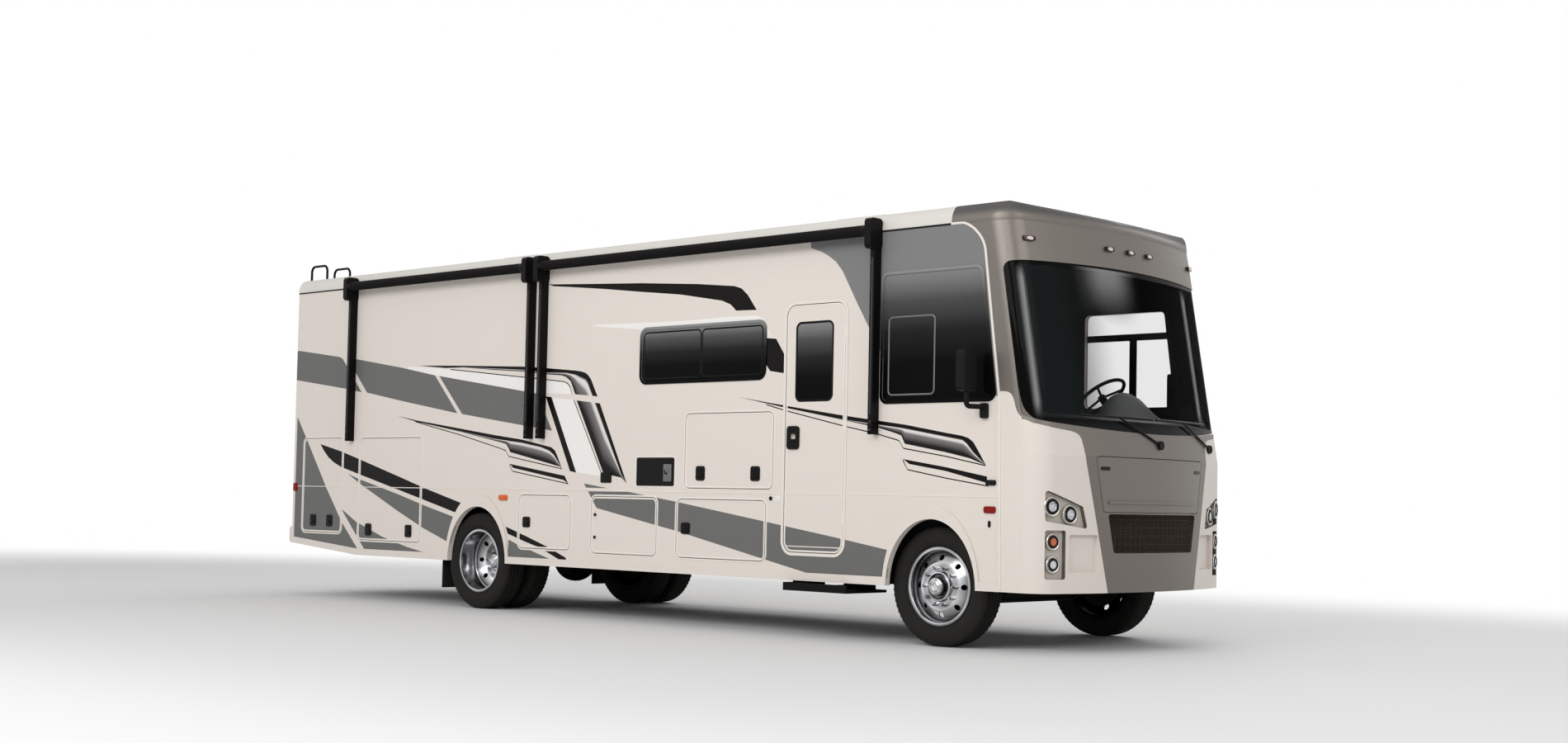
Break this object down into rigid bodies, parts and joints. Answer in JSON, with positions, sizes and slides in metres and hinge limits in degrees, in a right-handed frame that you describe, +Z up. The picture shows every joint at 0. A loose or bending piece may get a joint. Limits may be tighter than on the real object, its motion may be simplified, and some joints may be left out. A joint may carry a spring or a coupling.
{
  "type": "motorhome",
  "caption": "Flat-fronted motorhome on a bare truck chassis, with twin rear wheels, roller awnings, luggage doors, an entry door, a rear ladder and a slide-out room.",
  "frame": {"origin": "on the ground, midway between the nose and the rear ladder, on the centre plane", "axes": "+X forward, +Y to the left, +Z up"},
  "size_m": [9.938, 3.062, 3.535],
  "materials": {
    "body_paint": "gloss cream with grey stripes",
    "cap_paint": "gloss warm grey",
    "window_glass": "dark tinted",
    "grille_metal": "bronze black mesh",
    "lamp_plastic": "clear lens over a bright bowl",
    "marker_plastic": "amber and red lens",
    "black_trim": "satin black",
    "bin_sheet": "dark moulded sheet",
    "roof_skin": "off-white sheet",
    "floor_board": "coated underside",
    "housing_plastic": "dull black",
    "rubber_sheet": "dull",
    "tyre": "dull",
    "wheel_chrome": "polished",
    "cast_steel": "dark coated",
    "spring_steel": "black",
    "frame_steel": "black",
    "engine_iron": "dull",
    "tank_steel": "dark coated",
    "polished_tube": "polished",
    "awning_fabric": "black vinyl wrap",
    "step_metal": "black",
    "dash_plastic": "dark brown",
    "wheel_rim_plastic": "black",
    "seat_fabric": "tan",
    "roof_plastic": "white"
  },
  "bodies": {
    "coach": {"awning_arms": "black_trim", "awning_rollers": "awning_fabric", "chassis": "frame_steel", "dashboard": "dash_plastic", "drive_line": "engine_iron", "engine_block": "engine_iron", "entry_step": "step_metal", "floor": "floor_board", "front_axle": "cast_steel", "front_cap": "cap_paint", "front_lamps": "lamp_plastic", "fuel_tank_and_exhaust": "tank_steel", "grille": "grille_metal", "ladder": "polished_tube", "luggage_bins": "bin_sheet", "marker_lamps": "marker_plastic", "mirrors": "black_trim", "mud_flaps": "rubber_sheet", "rear_axle": "cast_steel", "rear_wall": "body_paint", "roof": "roof_skin", "roof_gear": "roof_plastic", "seats": "seat_fabric", "side_wall_left": "body_paint", "side_wall_right": "body_paint", "skirt_left": "body_paint", "skirt_right": "body_paint", "springs": "spring_steel", "wheel_housings": "housing_plastic", "window_frames": "black_trim", "window_glass": "window_glass", "windscreen": "window_glass", "wipers": "black_trim"},
    "steer_body_right": {"knuckle_right": "cast_steel"},
    "steer_body_left": {"knuckle_left": "cast_steel"},
    "tie_rod_body": {"tie_rod": "cast_steel"},
    "wheel_body_front_right": {"tyre_front_right": "tyre", "rim_front_right": "wheel_chrome"},
    "wheel_body_front_left": {"tyre_front_left": "tyre", "rim_front_left": "wheel_chrome"},
    "wheel_body_rear_right": {"tyres_rear_right": "tyre", "rims_rear_right": "wheel_chrome"},
    "wheel_body_rear_left": {"tyres_rear_left": "tyre", "rims_rear_left": "wheel_chrome"},
    "entry_door_body": {"entry_door": "body_paint", "entry_door_glass": "window_glass"},
    "luggage_door_rear_body": {"luggage_door_rear": "body_paint"},
    "luggage_door_tall_body": {"luggage_door_tall": "body_paint"},
    "luggage_door_aft_body": {"luggage_door_aft": "body_paint"},
    "luggage_door_mid_body": {"luggage_door_mid": "body_paint"},
    "luggage_door_fore_body": {"luggage_door_fore": "body_paint"},
    "screen_door_body": {"screen_door": "body_paint"},
    "locker_lid_body": {"locker_lid": "black_trim"},
    "luggage_door_left_aft_body": {"luggage_door_left_aft": "body_paint"},
    "luggage_door_left_fore_body": {"luggage_door_left_fore": "body_paint"},
    "front_hatch_body": {"front_hatch": "cap_paint"},
    "slide_room_body": {"slide_room": "body_paint", "slide_room_glass": "window_glass"},
    "steering_wheel_body": {"steering_wheel": "wheel_rim_plastic"}
  },
  "joints": [
    {"name": "steer_right", "type": "hinge", "parent": "coach", "child": "steer_body_right", "pos_m": [3.77, -0.918, 0.455], "axis": [0, 0, 1], "range_deg": [-40, 40]},
    {"name": "steer_left", "type": "hinge", "parent": "coach", "child": "steer_body_left", "pos_m": [3.77, 0.918, 0.455], "axis": [0, 0, 1], "range_deg": [-40, 40]},
    {"name": "tie_rod_pivot", "type": "hinge", "parent": "steer_body_right", "child": "tie_rod_body", "pos_m": [3.57, -0.918, 0.35], "axis": [0, 0, 1], "range_deg": [-40, 40]},
    {"name": "wheel_spin_front_right", "type": "hinge", "parent": "steer_body_right", "child": "wheel_body_front_right", "pos_m": [3.77, -1.068, 0.455], "axis": [0, 1, 0], "continuous": true},
    {"name": "wheel_spin_front_left", "type": "hinge", "parent": "steer_body_left", "child": "wheel_body_front_left", "pos_m": [3.77, 1.068, 0.455], "axis": [0, 1, 0], "continuous": true},
    {"name": "wheel_spin_rear_right", "type": "hinge", "parent": "coach", "child": "wheel_body_rear_right", "pos_m": [-1.765, -0.963, 0.455], "axis": [0, 1, 0], "continuous": true},
    {"name": "wheel_spin_rear_left", "type": "hinge", "parent": "coach", "child": "wheel_body_rear_left", "pos_m": [-1.765, 0.963, 0.455], "axis": [0, 1, 0], "continuous": true},
    {"name": "entry_door_hinge", "type": "hinge", "parent": "coach", "child": "entry_door_body", "pos_m": [2.888, -1.2825, 1.6], "axis": [0, 0, 1], "range_deg": [0, 95]},
    {"name": "luggage_door_rear_hinge", "type": "hinge", "parent": "coach", "child": "luggage_door_rear_body", "pos_m": [-4.335, -1.2825, 1.636], "axis": [-1, 0, 0], "range_deg": [0, 90]},
    {"name": "luggage_door_tall_hinge", "type": "hinge", "parent": "coach", "child": "luggage_door_tall_body", "pos_m": [-3.149, -1.2825, 1.63], "axis": [-1, 0, 0], "range_deg": [0, 90]},
    {"name": "luggage_door_aft_hinge", "type": "hinge", "parent": "coach", "child": "luggage_door_aft_body", "pos_m": [-0.378, -1.2825, 0.842], "axis": [0, 0, 1], "range_deg": [0, 90]},
    {"name": "luggage_door_mid_hinge", "type": "hinge", "parent": "coach", "child": "luggage_door_mid_body", "pos_m": [0.757, -1.2825, 0.834], "axis": [0, 0, 1], "range_deg": [0, 90]},
    {"name": "luggage_door_fore_hinge", "type": "hinge", "parent": "coach", "child": "luggage_door_fore_body", "pos_m": [2.05, -1.2825, 0.83], "axis": [0, 0, 1], "range_deg": [0, 90]},
    {"name": "screen_door_hinge", "type": "hinge", "parent": "coach", "child": "screen_door_body", "pos_m": [1.611, -1.2825, 1.8], "axis": [-1, 0, 0], "range_deg": [0, 90]},
    {"name": "locker_lid_hinge", "type": "hinge", "parent": "coach", "child": "locker_lid_body", "pos_m": [0.73, -1.2825, 1.426], "axis": [-1, 0, 0], "range_deg": [0, 90]},
    {"name": "luggage_door_left_aft_hinge", "type": "hinge", "parent": "coach", "child": "luggage_door_left_aft_body", "pos_m": [0.42, 1.2825, 0.835], "axis": [0, 0, -1], "range_deg": [0, 90]},
    {"name": "luggage_door_left_fore_hinge", "type": "hinge", "parent": "coach", "child": "luggage_door_left_fore_body", "pos_m": [2.7, 1.2825, 0.835], "axis": [0, 0, -1], "range_deg": [0, 90]},
    {"name": "front_hatch_hinge", "type": "hinge", "parent": "coach", "child": "front_hatch_body", "pos_m": [4.952, 0, 1.039], "axis": [0, 1, 0], "range_deg": [0, 80]},
    {"name": "slide_room_travel", "type": "slide", "parent": "coach", "child": "slide_room_body", "axis": [0, 1, 0], "range_m": [0, 0.6]},
    {"name": "steering_wheel_turn", "type": "hinge", "parent": "coach", "child": "steering_wheel_body", "pos_m": [4.02, 0.62, 1.985], "axis": [-0.6157, 0, 0.788], "range_deg": [-720, 720]}
  ],
  "couplings": [
    {"joint": "steer_left", "follows": "steer_right", "ratio": 1},
    {"joint": "tie_rod_pivot", "follows": "steer_right", "ratio": -1},
    {"joint": "steering_wheel_turn", "follows": "steer_right", "ratio": 18}
  ]
}
